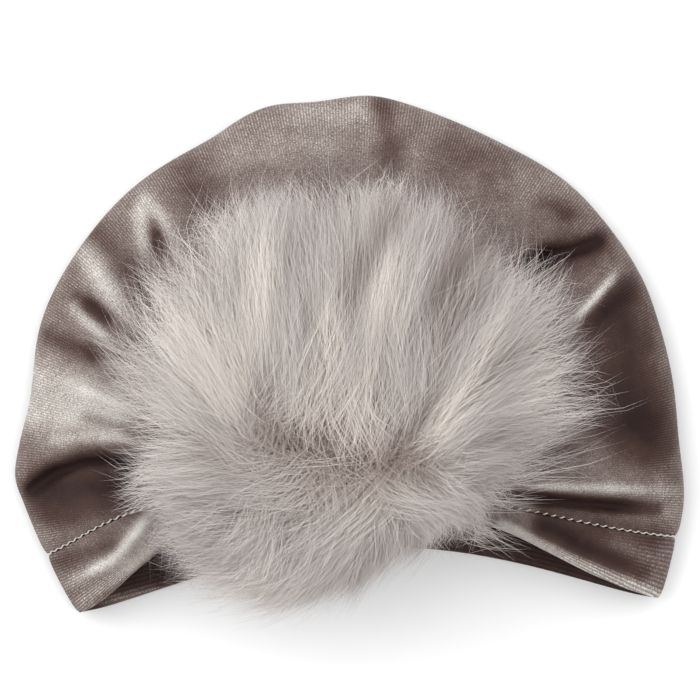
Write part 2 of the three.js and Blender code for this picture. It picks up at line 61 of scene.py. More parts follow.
# The crown
# One piece of stretch velvet, gathered to the middle of the front and plain at the back. It is made
# from the frame's own solid, merged, rounded by subdivision and then creased where the cloth is
# drawn together, both faces of the cloth alike, so the wall keeps its thickness.
GATHER = np.array([0.0, -40.0]) * MM
ROUNDING_LEVELS = 2
MERGE_DISTANCE = 0.01 * MM
QUAD_FACE_ANGLE, QUAD_SHAPE_ANGLE = math.radians(60), math.radians(80)
OUTLINE_SLICE = 0.5 * MM
ANGLE_STEP = 2.0
CREASED_FROM, CREASED_FULLY = 6.0 * MM, 12.0 * MM
RIM_FROM, RIM_FULLY = 0.84, 0.96
HEM_ARCH = {"edge": -77.0 * MM, "rise": 18.0 * MM, "half": 95.0 * MM, "bluntness": 1.35}
RIB_PITCH = 0.85 * MM
BACK_RIB_PITCH = 1.35 * MM
SPECK_STRETCH = (2.0, 2.3, 1.0)
# The velvet's colour by its painted tone: painted shade in dark plum, its own taupe in the middle,
# a painted silver sheen at the top.
VELVET_PAINTED_SHADE_TO_SHEEN = [
    (0.05, (0.020, 0.009, 0.008)),
    (0.30, (0.062, 0.035, 0.029)),
    (0.50, (0.160, 0.120, 0.108)),
    (0.75, (0.378, 0.342, 0.315)),
    (1.00, (0.65, 0.63, 0.595)),
]
# The back and the inside of the hat are painted dark, as painted shade, and a painted silver sheen
# lies along the back of the hem at its lower left.
BACK_PAINTED_SHADE = -0.85
BACK_PAINTED_SHEEN = {
    "line": [(-78, -76.5), (-66, -74), (-55, -71.5)], "width": 2.2, "painted_tone": 0.75, "fade": 0.5,
}

# Where the cloth is creased more finely than the frame's folds, and where light and shade are
# painted into its colour.
# A line runs in mm over the table, width is from its middle to its flank, lift raises the cloth,
# in mm, and the tone is painted light and shade: -1 paints the velvet in shade, dark plum, and 1
# paints a silver sheen on it.
# Fade weakens a line at its ends, edge sharpens its flanks, and ribs shows the cloth's ribs there.
CREASES_AND_PAINTED_LIGHT = [
    {"line": [(-48, 52.5), (-42.6, 43.5)], "width": 7.5, "painted_tone": -0.30},
    {"line": [(-62, 46), (-63, 40.5), (-61.2, 27)],
     "width": 2.4, "lift": 0.9, "painted_tone": 0.65, "fade": 0.5},
    {"line": [(-60, 45), (-55.5, 38.4), (-52, 31)],
     "width": 2.2, "lift": 0.9, "painted_tone": 0.60, "fade": 0.5},
    {"line": [(-58.5, 37.5), (-56.5, 28)], "width": 2.0, "lift": -1.4, "painted_tone": -0.80, "fade": 0.5},
    {"line": [(-75, 34), (-62, 21.3)], "width": 3.6, "lift": -0.8, "painted_tone": -0.36},
    {"line": [(-78.6, 28.5), (-67.8, 10)], "width": 3.6, "lift": 1.0, "painted_tone": 0.75, "fade": 0.4},
    {"line": [(-81, 16.2), (-69.6, 7.2)], "width": 2.3, "lift": -1.4, "painted_tone": -0.85, "fade": 0.5},
    {"line": [(-82.8, 12.6), (-71.4, 2)], "width": 1.9, "lift": 0.8, "painted_tone": 0.7, "fade": 0.4},
    {"line": [(-90, 4.5), (-76.5, -1.8)], "width": 2.8, "lift": -0.6, "painted_tone": -0.55},
    {"line": [(-94.5, -7.5), (-69, -15)], "width": 6.0, "painted_tone": 0.60},
    {"line": [(-94.5, -19), (-69, -22.5)], "width": 5.5, "painted_tone": 0.55},
    {"line": [(-80, -11.7), (-60.3, -19.2)], "width": 1.8, "lift": 0.8, "painted_tone": 0.35},
    {"line": [(-78.3, -20), (-64.2, -24)], "width": 1.6, "lift": -0.6, "painted_tone": -0.45},
    {"line": [(-88.8, -27), (-67.5, -25.8)], "width": 1.8, "lift": 0.8, "painted_tone": 0.35},
    {"line": [(-96, -37.8), (-88, -32.4), (-80, -29.8), (-70.8, -29), (-63, -30)],
     "width": 1.9, "lift": 1.5, "painted_tone": -0.2},
    {"line": [(-95, -41.5), (-87.6, -36.2), (-80, -33.6), (-70.8, -32.6), (-63, -34)],
     "width": 2.1, "lift": -2.6, "painted_tone": -1.1},
    {"line": [(-91.5, -42.5), (-64.5, -39)], "width": 6.0, "lift": -0.4, "painted_tone": -0.95},
    {"line": [(-90, -50), (-62, -46)], "width": 4.0, "painted_tone": -0.35},
    {"line": [(-88.5, -64.5), (-71.4, -58.5)], "width": 3.2, "lift": -0.5, "painted_tone": -0.35},
    {"line": [(-84, -70), (-70.8, -62.4), (-64.2, -55.2), (-57, -45)],
     "width": 1.9, "lift": 1.3, "painted_tone": 0.95, "fade": 0.7},
    {"line": [(-80, -75), (-68, -67.5), (-57, -57)], "width": 2.6, "painted_tone": 0.34, "ribs": 1.9},
    {"line": [(-76, -75), (-66, -68), (-56, -59.5)], "width": 0.9, "painted_tone": -0.35, "fade": 0.5},
    {"line": [(-33, 60), (3, 66)], "width": 9.0, "painted_tone": 0.20},
    {"line": [(-15, 69.5), (3.6, 71.4)], "width": 3.4, "painted_tone": 0.20},
    {"line": [(9.6, 73.5), (12.6, 54)], "width": 3.8, "lift": -0.8, "painted_tone": -0.40},
    {"line": [(30, 62), (44, 52)], "width": 8.0, "painted_tone": -0.22},
    {"line": [(46.5, 50), (57, 44)], "width": 4.5, "lift": 0.4, "painted_tone": 0.06},
    {"line": [(58, 44), (65, 41)], "width": 3.0, "lift": -0.4, "painted_tone": -0.45},
    {"line": [(55, 24), (63, 27.4), (73.2, 30.5)], "width": 6.5, "lift": -0.5, "painted_tone": -0.50},
    {"line": [(54, 25), (58, 27.5)], "width": 3.0, "lift": -1.0, "painted_tone": -0.7},
    {"line": [(54, 25.5), (60, 28.6), (67, 29.6), (73.8, 32.4)],
     "width": 2.2, "lift": -2.6, "painted_tone": -0.9, "fade": 0.3},
    {"line": [(53, 24), (58, 27)], "width": 2.4, "lift": -1.0, "painted_tone": -0.6},
    {"line": [(71, 31), (74, 32.6)], "width": 2.2, "lift": -0.4, "painted_tone": -0.5},
    {"line": [(70.5, 19.5), (76.5, 26.4)], "width": 2.0, "lift": 0.3, "painted_tone": 0.20},
    {"line": [(63.5, 5), (74.5, 17), (83, 27)],
     "width": 2.0, "lift": 1.3, "painted_tone": 0.75, "fade": 1.0},
    {"line": [(66, 8), (73.5, 16), (80, 23.4)],
     "width": 1.0, "lift": 0.5, "painted_tone": 0.75, "fade": 0.9},
    {"line": [(72, 8), (83, 18)], "width": 3.5, "painted_tone": -0.45},
    {"line": [(80, 12), (88, -21)], "width": 10, "painted_tone": -0.80},
    {"line": [(66, -12), (90, -30)], "width": 8.0, "painted_tone": -0.48},
    {"line": [(57, -36.5), (92, -37.5)], "width": 2.8, "painted_tone": 0.05, "fade": 0.6},
    {"line": [(46, -40.4), (63, -41), (78, -41.4), (97, -42.3)],
     "width": 1.6, "lift": 1.5, "painted_tone": 0.70, "fade": 0.6},
    {"line": [(48, -43), (69, -45.6), (91.5, -47.6)],
     "width": 2.1, "lift": -2.0, "painted_tone": -1.1, "fade": 0.5, "edge": 3},
    {"line": [(58, -51), (92, -56)], "width": 4.0, "painted_tone": -0.50},
    {"line": [(58, -53), (73, -60.5), (87, -66)],
     "width": 3.4, "lift": -1.2, "painted_tone": -0.95, "fade": 0.3},
    {"line": [(45.3, -52.2), (61.5, -60.6), (78.3, -68), (91.5, -73.4)],
     "width": 2.1, "lift": 0.8, "painted_tone": 0.60, "ribs": 1.9, "edge": 4},
]
PLEATS = {
    "seed": 7, "count": 64, "height": 0.35, "from": -18, "to": 200, "lean": 3,
    "thin": 0.8, "wide": 1.8, "far": 0.86, "shortest": 0.6, "fade": 0.25,
}


def new_piece(name, mesh):
    """A new object of that mesh, which alone is selected and active."""
    piece = bpy.data.objects.new(name, mesh)
    bpy.context.collection.objects.link(piece)
    bpy.ops.object.select_all(action="DESELECT")
    piece.select_set(True)
    bpy.context.view_layer.objects.active = piece
    return piece


def merged_copy(node, name, levels):
    """A piece of its own from a node of the frame: merged, in quads, rounded by subdivision."""
    piece = new_piece(name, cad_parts[node].data.copy())
    bpy.ops.object.mode_set(mode="EDIT")
    bpy.ops.mesh.select_all(action="SELECT")
    bpy.ops.mesh.remove_doubles(threshold=MERGE_DISTANCE)
    bpy.ops.mesh.tris_convert_to_quads(
        face_threshold=QUAD_FACE_ANGLE, shape_threshold=QUAD_SHAPE_ANGLE
    )
    bpy.ops.object.mode_set(mode="OBJECT")
    rounding = piece.modifiers.new("rounding", "SUBSURF")
    rounding.levels = levels
    rounding.render_levels = levels
    bpy.ops.object.modifier_apply(modifier=rounding.name)
    return piece


def points_of(piece):
    flat = np.empty(len(piece.data.vertices) * 3, np.float32)
    piece.data.vertices.foreach_get("co", flat)
    return flat.reshape(-1, 3).astype(float)


def put_points(piece, places):
    piece.data.vertices.foreach_set("co", places.astype(np.float32).ravel())
    piece.data.update()


def about_gather(x, y):
    """Angle in degrees from -90 on the right round over the top, and distance from the gather."""
    angle = np.degrees(np.arctan2(y - GATHER[1], x - GATHER[0]))
    return np.where(angle < -90, angle + 360, angle), np.hypot(x - GATHER[0], y - GATHER[1])


def smooth(value, low, high):
    t = np.clip((value - low) / (high - low), 0, 1)
    return t * t * (3 - 2 * t)


# How far the outline lies from the gather at each angle, read off the frame's crown and hem.
rim = np.vstack([points_of(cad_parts[n]) for n in ("crown", "hem")])
rim = rim[np.abs(rim[:, 2] - OUTLINE_HEIGHT) < OUTLINE_SLICE]
rim_angle, rim_reach = about_gather(rim[:, 0], rim[:, 1])
steps = np.arange(-20, 206, ANGLE_STEP)
reach_at_step = np.array([
    rim_reach[np.abs(rim_angle - step) < 1.1 * ANGLE_STEP].max(initial=0) for step in steps
])


def share_of(x, y):
    """The angle about the gather, and the distance from it as a share of the outline's."""
    angle, distance = about_gather(x, y)
    return angle, distance / np.interp(angle, steps, reach_at_step)


def nearness(x, y, line, width, fade=0.0, edge=2):
    """1 on a line, falling off to its flanks by the edge's power, and by its fade to its ends."""
    best, where, done = np.full_like(x, 1e9), np.zeros_like(x), 0.0
    for (ax, ay), (bx, by) in zip(line, line[1:]):
        dx, dy = bx - ax, by - ay
        t = np.clip(((x / MM - ax) * dx + (y / MM - ay) * dy) / (dx * dx + dy * dy), 0, 1)
        off = np.hypot(x / MM - ax - dx * t, y / MM - ay - dy * t)
        where = np.where(off < best, done + t * math.hypot(dx, dy), where)
        best = np.minimum(best, off)
        done += math.hypot(dx, dy)
    inward = np.minimum(where, done - where) / done
    return np.exp(-((best / width) ** edge)) * (1 - fade * (1 - smooth(inward, 0, 0.3)))


def stroke(x, y, row):
    return nearness(x, y, row["line"], row["width"], row.get("fade", 0), row.get("edge", 2))


def crease_height(x, y):
    """What the creases and the small pleats at the gather add to the front's height."""
    angle, share = share_of(x, y)
    height = sum(c["lift"] * stroke(x, y, c) for c in CREASES_AND_PAINTED_LIGHT if "lift" in c)
    chance = np.random.default_rng(PLEATS["seed"])
    for place in chance.uniform(PLEATS["from"], PLEATS["to"], PLEATS["count"]):
        far = PLEATS["far"] * chance.uniform(PLEATS["shortest"], 1.0)
        lean = chance.uniform(-PLEATS["lean"], PLEATS["lean"])
        width = chance.uniform(PLEATS["thin"], PLEATS["wide"])
        tall = PLEATS["height"] * chance.uniform(-1, 1)
        off = (angle - place - lean * share) / width
        ending = 1 - smooth(share, far - PLEATS["fade"], far)
        height = height + tall * np.exp(-off * off) * ending
    return height * MM


def crease(piece):
    """Moves both faces of the cloth's front by the creases. The back and the outline stay."""
    places = points_of(piece)
    front = smooth(places[:, 2], CREASED_FROM, CREASED_FULLY)
    places[:, 2] += crease_height(places[:, 0], places[:, 1]) * front
    put_points(piece, places)


crown = merged_copy("crown", "velvet_crown", ROUNDING_LEVELS)
crease(crown)


# The painted sheen and shade on the front: each line's tone, summed, is painted into the velvet's
# colour.
def painted_sheen_and_shade(x, y):
    return sum(c["painted_tone"] * stroke(x, y, c) for c in CREASES_AND_PAINTED_LIGHT)


def dress_velvet(piece, fans=()):
    """Gives a piece its rib coordinates and its painted tone, the sheen and shade painted into its
    colour. Its ribs draw together at fans.
    """
    mesh = piece.data
    places = points_of(piece)
    x, y, z = places.T
    angle, share = share_of(x, y)
    reach = np.interp(angle, steps, reach_at_step)
    front = z > OUTLINE_HEIGHT
    across_front = np.radians(angle) * reach.mean() / RIB_PITCH
    arch = np.clip(1 - (x / HEM_ARCH["half"]) ** 2, 0, 1) ** HEM_ARCH["bluntness"]
    arch = HEM_ARCH["rise"] * arch
    across_back = (y - HEM_ARCH["edge"] - arch) / BACK_RIB_PITCH
    along_front = share * reach / RIB_PITCH
    along_back = x / RIB_PITCH
    for fan_x, fan_y in fans:
        beside = np.sign(fan_x) * x > 0
        turn = np.arctan2(y - fan_y, np.abs(x - fan_x))
        across_front = np.where(beside, turn * FAN_REACH / RIB_PITCH, across_front)
        along_front = np.where(beside, np.hypot(x - fan_x, y - fan_y) / RIB_PITCH, along_front)
    ribs = mesh.uv_layers.new(name="ribs")
    loops = np.empty(len(mesh.loops), np.int32)
    mesh.loops.foreach_get("vertex_index", loops)
    centres = np.empty(len(mesh.polygons) * 3, np.float32)
    mesh.polygons.foreach_get("center", centres)
    face_front = centres.reshape(-1, 3)[:, 2] > OUTLINE_HEIGHT
    sizes = np.empty(len(mesh.polygons), np.int32)
    mesh.polygons.foreach_get("loop_total", sizes)
    loop_front = np.repeat(face_front, sizes)
    u = np.where(loop_front, across_front[loops], across_back[loops])
    v = np.where(loop_front, along_front[loops], along_back[loops])
    ribs.data.foreach_set("uv", np.column_stack([u, v]).astype(np.float32).ravel())
    # The front is given its painted sheen and shade. The back and inside are painted dark as shade,
    # with their painted sheen.
    painted_tone = mesh.attributes.new("painted_sheen_and_shade", "FLOAT", "POINT")
    behind = BACK_PAINTED_SHADE + BACK_PAINTED_SHEEN["painted_tone"] * stroke(x, y, BACK_PAINTED_SHEEN)
    painted_tone.data.foreach_set("value", np.where(front, painted_sheen_and_shade(x, y), behind).astype(np.float32))
    rim = mesh.attributes.new("rim", "FLOAT", "POINT")
    bands = sum(c["ribs"] * stroke(x, y, c) for c in CREASES_AND_PAINTED_LIGHT if "ribs" in c)
    shown = np.maximum(smooth(share, RIM_FROM, RIM_FULLY), bands)
    rim.data.foreach_set("value", np.where(front, shown, 1).astype(np.float32))
    mesh.shade_smooth()


def feed(tree, node, values):
    """Sets a node's inputs to values, or links them from other nodes' outputs."""
    for name, value in values.items():
        if isinstance(value, bpy.types.NodeSocket):
            tree.links.new(value, node.inputs[name])
        else:
            node.inputs[name].default_value = value


def add(tree, kind, x, y, values={}, **settings):
    node = tree.nodes.new(kind)
    node.location = (x, y)
    for name, value in settings.items():
        setattr(node, name, value)
    feed(tree, node, values)
    return node


def reckon(tree, x, y, operation, *values):
    """The result of a sum on numbers and on other nodes' outputs."""
    values = dict(enumerate(values))
    return add(tree, "ShaderNodeMath", x, y, values, operation=operation).outputs[0]


def add_ramp(tree, x, y, value, stops):
    """The colour for a value, from a ramp with a colour at each of its places."""
    ramp = add(tree, "ShaderNodeValToRGB", x, y, {"Fac": value})
    for shade, (place, color) in zip(ramp.color_ramp.elements, (stops[0], stops[-1])):
        shade.position, shade.color = place, (*color, 1)
    for place, color in stops[1:-1]:
        ramp.color_ramp.elements.new(place).color = (*color, 1)
    return ramp.outputs["Color"]


def add_bump(tree, height, strength, distance):
    values = {"Height": height, "Strength": strength, "Distance": distance}
    return add(tree, "ShaderNodeBump", -300, -200, values).outputs["Normal"]


def new_finish(name):
    """A new material, with its node tree and its shader."""
    material = bpy.data.materials.new(name)
    material.use_nodes = True
    return material, material.node_tree, material.node_tree.nodes["Principled BSDF"]


def knit_group():
    """Ribbed knit under a short pile: the ribs, specks of its pile as painted glints, and both as a
    height.
    """
    group = bpy.data.node_groups.new("ribbed_knit", "ShaderNodeTree")
    for name, way, kind in (
        ("Rib Coordinates", "INPUT", "NodeSocketVector"),
        ("Speck Scale", "INPUT", "NodeSocketFloat"),
        ("Ribs", "OUTPUT", "NodeSocketFloat"),
        ("Painted Glints", "OUTPUT", "NodeSocketFloat"),
        ("Height", "OUTPUT", "NodeSocketFloat"),
    ):
        group.interface.new_socket(name, in_out=way, socket_type=kind)
    inside = add(group, "NodeGroupInput", -900, 0).outputs
    split = add(group, "ShaderNodeSeparateXYZ", -700, 100, {0: inside["Rib Coordinates"]})
    turn = reckon(group, -520, 160, "MULTIPLY", split.outputs["X"], 2 * math.pi)
    wave = reckon(group, -340, 160, "COSINE", turn)
    stretch = add(group, "ShaderNodeMapping", -520, -100, {
        "Vector": inside["Rib Coordinates"], "Scale": SPECK_STRETCH,
    })
    speck = add(group, "ShaderNodeTexNoise", -340, -100, {
        "Vector": stretch.outputs[0], "Scale": inside["Speck Scale"],
        "Detail": 2, "Roughness": 0.6, "Distortion": 0.8,
    })
    centred = reckon(group, -120, -100, "SUBTRACT", speck.outputs["Fac"], 0.5)
    # The painted glints sit mostly on the crests of the ribs, where the pile stands highest.
    crest = reckon(group, -120, -260, "MULTIPLY_ADD", wave, 0.7, 1.0)
    feed(group, add(group, "NodeGroupOutput", 500, 0), {
        "Ribs": wave,
        "Painted Glints": reckon(group, 80, -180, "MULTIPLY", centred, crest),
        "Height": reckon(group, 80, 60, "MULTIPLY_ADD", wave, 0.3, centred),
    })
    return group


KNIT = knit_group()


def velvet_material():
    """Taupe stretch velvet, its colour painted dark plum for shade and silver for sheen by the
    painted tone.
    """
    material, tree, shader = new_finish("taupe_velvet")
    ribs = add(tree, "ShaderNodeUVMap", -1500, 0, uv_map="ribs")
    knit = add(tree, "ShaderNodeGroup", -1300, 0, node_tree=KNIT)
    feed(tree, knit, {"Rib Coordinates": ribs.outputs["UV"], "Speck Scale": 1.0})
    # The painted sheen and shade, as laid on the piece.
    painted_tone = add(tree, "ShaderNodeAttribute", -1500, 300, attribute_name="painted_sheen_and_shade")
    rim = add(tree, "ShaderNodeAttribute", -1500, -250, attribute_name="rim")
    # The pile lies unevenly, so its tone drifts a little from place to place.
    place = add(tree, "ShaderNodeTexCoord", -1500, 520)
    cloud = add(tree, "ShaderNodeTexNoise", -1300, 500, {
        "Vector": place.outputs["Object"], "Scale": 90, "Detail": 5, "Roughness": 0.65,
    })
    centred = reckon(tree, -1100, 500, "SUBTRACT", cloud.outputs["Fac"], 0.5)
    clouded = reckon(tree, -900, 400, "MULTIPLY_ADD", centred, 0.9, painted_tone.outputs["Fac"])
    shown = add(tree, "ShaderNodeMapRange", -700, 350, {
        "Value": clouded, "From Min": -1.2, "From Max": 1.2,
    }).outputs["Result"]
    # Painted glints show most on the painted silver sheen, and ribs most along the outline, where
    # the cloth is stretched.
    bright = add(tree, "ShaderNodeMapRange", -900, 100, {
        "Value": shown, "From Min": 0.2, "From Max": 0.8, "To Min": 0.24, "To Max": 1.3,
    }).outputs["Result"]
    stretched = add(tree, "ShaderNodeMapRange", -900, -200, {
        "Value": rim.outputs["Fac"], "From Max": 2.0, "To Max": 0.10,
    }).outputs["Result"]
    tone_with_painted_glints = reckon(tree, -500, 250, "MULTIPLY_ADD", knit.outputs["Painted Glints"], bright, shown)
    plain = reckon(tree, -700, -200, "MULTIPLY_ADD", bright, 0.028, stretched)
    ribbed = reckon(tree, -350, 200, "MULTIPLY_ADD", knit.outputs["Ribs"], plain, tone_with_painted_glints)
    feed(tree, shader, {
        "Base Color": add_ramp(tree, -200, 250, ribbed, VELVET_PAINTED_SHADE_TO_SHEEN),
        "Normal": add_bump(tree, knit.outputs["Height"], 0.35, 0.15 * MM),
        "Roughness": 0.5,
        "Specular IOR Level": 0.10,
        "Sheen Weight": 0.05,
        "Sheen Roughness": 0.35,
        "Sheen Tint": (0.86, 0.80, 0.75, 1),
    })
    return material


VELVET = velvet_material()
dress_velvet(crown)
crown.data.materials.clear()
crown.data.materials.append(VELVET)
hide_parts("crown")
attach(crown, "root")


# The hem
# The crown's edge is turned up inside and sewn down, which makes a doubled band with a rounded lip
# right round the opening. It is the same velvet.
HEM_LEVELS = 3
HEM_FANS = [(-52 * MM, -53 * MM), (41 * MM, -50 * MM)]
FAN_REACH = 36 * MM

hem = merged_copy("hem", "velvet_hem", HEM_LEVELS)
crease(hem)
dress_velvet(hem, HEM_FANS)
hem.data.materials.clear()
hem.data.materials.append(VELVET)
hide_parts("hem")
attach(hem, "root")


# The hem's stitching
# An off-white thread in a small zigzag, which holds the turned-up edge down all round. It is laid
# along the seam between crown and hem, half sunk in the pile.
STITCH_ENDS = {"right": np.array([98.6, -56.0]) * MM, "left": np.array([-91.5, -61.4]) * MM}
STITCH_START = -46.0 * MM
STITCH_BOW = {
    "right": {"height": 4.5 * MM, "peak": 0.7, "sharp": 2},
    "left": {"height": 9.4 * MM, "peak": 1.45, "sharp": 1.3},
}
STITCH_ARCH = {"height": 13.5 * MM, "bluntness": 1.35}
STITCH = {
    "length": 2.6 * MM, "sway": 0.26 * MM, "dip": 0.34 * MM, "sunk": 0.35,
    "thick": 0.45 * MM, "points": 10, "sides": 6,
}
SEAM_SWELL = {"height": 0.22 * MM, "width": 1.1 * MM}
SEAM_PROBE = 0.5 * MM
FRONT_RUN, FRONT_POINTS = (0.2, 0.985), 240
BACK_RUN, BACK_POINTS = (0.035, 0.965), 500
ABOVE_ALL = 0.2

cloth_surface = []
for piece in (crown, hem):
    faces = [tuple(face.vertices) for face in piece.data.polygons]
    cloth_surface.append(BVHTree.FromPolygons([v.co for v in piece.data.vertices], faces))


def cloth_height(x, y, spread=0.0):
    """The highest that the velvet is within a small distance of a point of the table."""
    best = 0.0
    for dx, dy in ((0, 0), (spread, 0), (-spread, 0), (0, spread), (0, -spread)):
        for tree in cloth_surface:
            hit = tree.ray_cast(Vector((x + dx, y + dy, ABOVE_ALL)), Vector((0, 0, -1)))[0]
            if hit is not None:
                best = max(best, hit.z)
    return best


def front_seam(side):
    """From inside the fur out to a corner of the hem, bowed upwards on the way."""
    share = np.linspace(*FRONT_RUN, FRONT_POINTS)
    end = STITCH_ENDS[side]
    bow = STITCH_BOW[side]
    bow = bow["height"] * np.sin(np.pi * share ** bow["peak"]) ** bow["sharp"]
    x = share * end[0]
    y = STITCH_START + (end[1] - STITCH_START) * share + bow
    z = np.array([cloth_height(a, b, SEAM_PROBE) for a, b in zip(x, y)])
    return np.column_stack([x, y, z])


def back_seam():
    """Under the hat from corner to corner, arched as the hem is."""
    share = np.linspace(*BACK_RUN, BACK_POINTS)
    left, right = STITCH_ENDS["left"], STITCH_ENDS["right"]
    arch = STITCH_ARCH["height"] * (4 * share * (1 - share)) ** STITCH_ARCH["bluntness"]
    x = left[0] + (right[0] - left[0]) * share
    y = left[1] + (right[1] - left[1]) * share + arch
    return np.column_stack([x, y, np.full_like(x, STITCH["thick"] * 0.5)])


def stitched(line, over):
    """A thread that sways across the line and dips under the pile between stitches."""
    steps_along = np.linalg.norm(np.diff(line, axis=0), axis=1)
    length = np.concatenate([[0], np.cumsum(steps_along)])
    count = int(length[-1] / STITCH["length"] * STITCH["points"])
    at = np.linspace(0, length[-1], count)
    path = np.column_stack([np.interp(at, length, line[:, k]) for k in range(3)])
    along = np.gradient(path, axis=0)
    along /= np.linalg.norm(along, axis=1)[:, None]
    side = np.column_stack([-along[:, 1], along[:, 0], np.zeros(count)])
    turn = 2 * np.pi * at / STITCH["length"]
    path += side * (STITCH["sway"] * np.sin(turn))[:, None]
    path[:, 2] += over * STITCH["dip"] * (np.cos(turn) - STITCH["sunk"])
    return path


def tube(paths, radius, sides):
    """Points and faces of round threads along the given lines, closed at both ends."""
    points, faces = [], []
    for path in paths:
        first = len(points)
        along = np.gradient(path, axis=0)
        for place, way in zip(path, along):
            way = Vector(way).normalized()
            across = way.cross(Vector((0, 0, 1))).normalized()
            up = across.cross(way)
            for k in range(sides):
                a = 2 * math.pi * k / sides
                points.append(Vector(place) + radius * (math.cos(a) * across + math.sin(a) * up))
        for i in range(len(path) - 1):
            for k in range(sides):
                a, b = first + i * sides + k, first + i * sides + (k + 1) % sides
                faces.append((a, b, b + sides, a + sides))
        faces.append(tuple(first + k for k in range(sides))[::-1])
        faces.append(tuple(first + (len(path) - 1) * sides + k for k in range(sides)))
    return points, faces


def press_seam(piece, lines):
    """The two edges of the seam swell against each other under the thread."""
    places = points_of(piece)
    normals = np.empty(len(places) * 3, np.float32)
    piece.data.vertices.foreach_get("normal", normals)
    near = np.full(len(places), 1e9)
    for line in lines:
        for a in range(0, len(line), 3):
            near = np.minimum(near, np.linalg.norm(places[:, :2] - line[a, :2], axis=1))
    swell = SEAM_SWELL["height"] * np.exp(-((near / SEAM_SWELL["width"]) ** 2))
    places += normals.reshape(-1, 3) * swell[:, None]
    places[:, 2] = np.maximum(places[:, 2], 0)
    put_points(piece, places)


seam_lines = [front_seam("right"), front_seam("left"), back_seam()]
press_seam(crown, seam_lines)
press_seam(hem, seam_lines)
seams = [stitched(front_seam("right"), 1), stitched(front_seam("left"), 1)]
seams.append(stitched(back_seam(), 0))
thread_points, thread_faces = tube(seams, STITCH["thick"] / 2, STITCH["sides"])
thread_mesh = bpy.data.meshes.new("hem_stitching")
thread_mesh.from_pydata(thread_points, [], thread_faces)
thread_mesh.shade_smooth()
thread = new_piece("hem_stitching", thread_mesh)
bpy.ops.object.mode_set(mode="EDIT")
bpy.ops.mesh.select_all(action="SELECT")
bpy.ops.mesh.normals_make_consistent(inside=False)
bpy.ops.object.mode_set(mode="OBJECT")

thread_finish, thread_tree, thread_shader = new_finish("off_white_thread")
thread_place = add(thread_tree, "ShaderNodeTexCoord", -700, 0)
thread_noise = add(thread_tree, "ShaderNodeTexNoise", -500, 0, {
    "Vector": thread_place.outputs["Object"], "Scale": 1800,
})
thread_shades = [(0, (0.34, 0.30, 0.27)), (1, (0.72, 0.68, 0.62))]
feed(thread_tree, thread_shader, {
    "Base Color": add_ramp(thread_tree, -300, 0, thread_noise.outputs["Fac"], thread_shades),
    "Roughness": 0.6,
})
thread_mesh.materials.append(thread_finish)
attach(thread, "root")


# The pompom's backing
# A small round of knit cloth, gathered behind the fur and sewn down over the crown's gather. The
# frame's own disc stays and is given its cloth.
backing_cloth, backing_tree, backing_shader = new_finish("backing_knit")
backing_place = add(backing_tree, "ShaderNodeTexCoord", -1100, 0)
backing_scale = add(backing_tree, "ShaderNodeMapping", -900, 0, {
    "Vector": backing_place.outputs["Object"], "Scale": [1 / RIB_PITCH] * 3,
})
backing_knit = add(backing_tree, "ShaderNodeGroup", -700, 0, node_tree=KNIT)
feed(backing_tree, backing_knit, {
    "Rib Coordinates": backing_scale.outputs[0], "Speck Scale": 1.4,
})
backing_height = backing_knit.outputs["Height"]
backing_shades = [(0, (0.20, 0.165, 0.145)), (1, (0.42, 0.36, 0.32))]
feed(backing_tree, backing_shader, {
    "Base Color": add_ramp(backing_tree, -450, 100, backing_height, backing_shades),
    "Normal": add_bump(backing_tree, backing_height, 0.5, 0.3 * MM),
    "Roughness": 0.85,
})
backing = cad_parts["pompom_backing"]
for finish in backing.material_slots:
    finish.material = backing_cloth


# The pompom
# Long soft fake fur on a stuffed head, parted low down and combed outwards, mostly up over the
# crown. The hair is laid lock by lock: it stands up from the head, leans over and thins to a tip,
# rests on the velvet at the sides and droops past the hem.
HEART = np.array([0.0, -16.0, 46.0]) * MM
STANDS, HANGS = 42.0 * MM, 40.0 * MM
HEAD_SHARE = 0.54
PLAN_STEP = 15
PLAN_REACH = np.array([
    66, 69, 69, 68, 68, 68, 68, 68, 68, 69, 69, 67, 66, 67, 69, 70, 67, 64, 59, 49, 48, 52, 48, 54
]) * MM
OVERHANG = {"from": 50.0 * MM, "to": 76.0 * MM, "low": 18.0 * MM}
HEIGHT_STEP_MM = 2.5
CLEARANCE = 0.7 * MM
PARTING = {"left": -24.0, "right": 17.0, "sag": 0.026, "polar": 34, "lean": 32.0}

# Locks are set in a spiral over the head from near the parting to under the rim, with 70 more
# past the hem. Numbers of hairs are for one lock, and every sixth lock has strays too.
LOCKS = 520
FIRST_LOCK, LAST_LOCK = math.radians(4), math.radians(112)
GOLDEN_TURN = 137.508
HAIRS_PER_LOCK = 76
STRAYS_PER_LOCK = 54
STRAY_EVERY = 6
FRINGE = {"locks": 70, "hairs": 72, "polar": 58, "deep": 52, "turn": -50, "round": 122}
FUR_PIECES = ("fur_parting", "fur_upper", "fur_middle", "fur_lower", "fur_fringe")

# A hair is a needle through four places, with its girths at all but its tip.
HAIR_SIDES = 3
HAIR_STATIONS = np.array([0.0, 0.36, 0.7, 1.0])
HAIR_GIRTHS = np.array([0.8, 1.0, 0.72])
HAIR_WIDTHS = (0.06, 0.135)
HAIR_FLUFF = 0.55
PUFF_RADII = np.array([66.0, 64.0, 42.0]) * MM
PUFF_LIFT = 56.0 * MM

# Along each hair: the root is painted darker taupe as the shade deep in the fur, cream in the
# middle, and greige at the tip.
LENGTH_COLOURS_AND_PAINTED_ROOT_SHADE = [
    (0.06, (0.48, 0.41, 0.38)),
    (0.45, (0.73, 0.695, 0.665)),
    (0.78, (0.62, 0.59, 0.58)),
    (1.00, (0.36, 0.335, 0.345)),
]
TINT_SHADES = [(0, (0.55, 0.475, 0.45)), (0.5, (0.95, 0.92, 0.90)), (1, (1.27, 1.225, 1.16))]

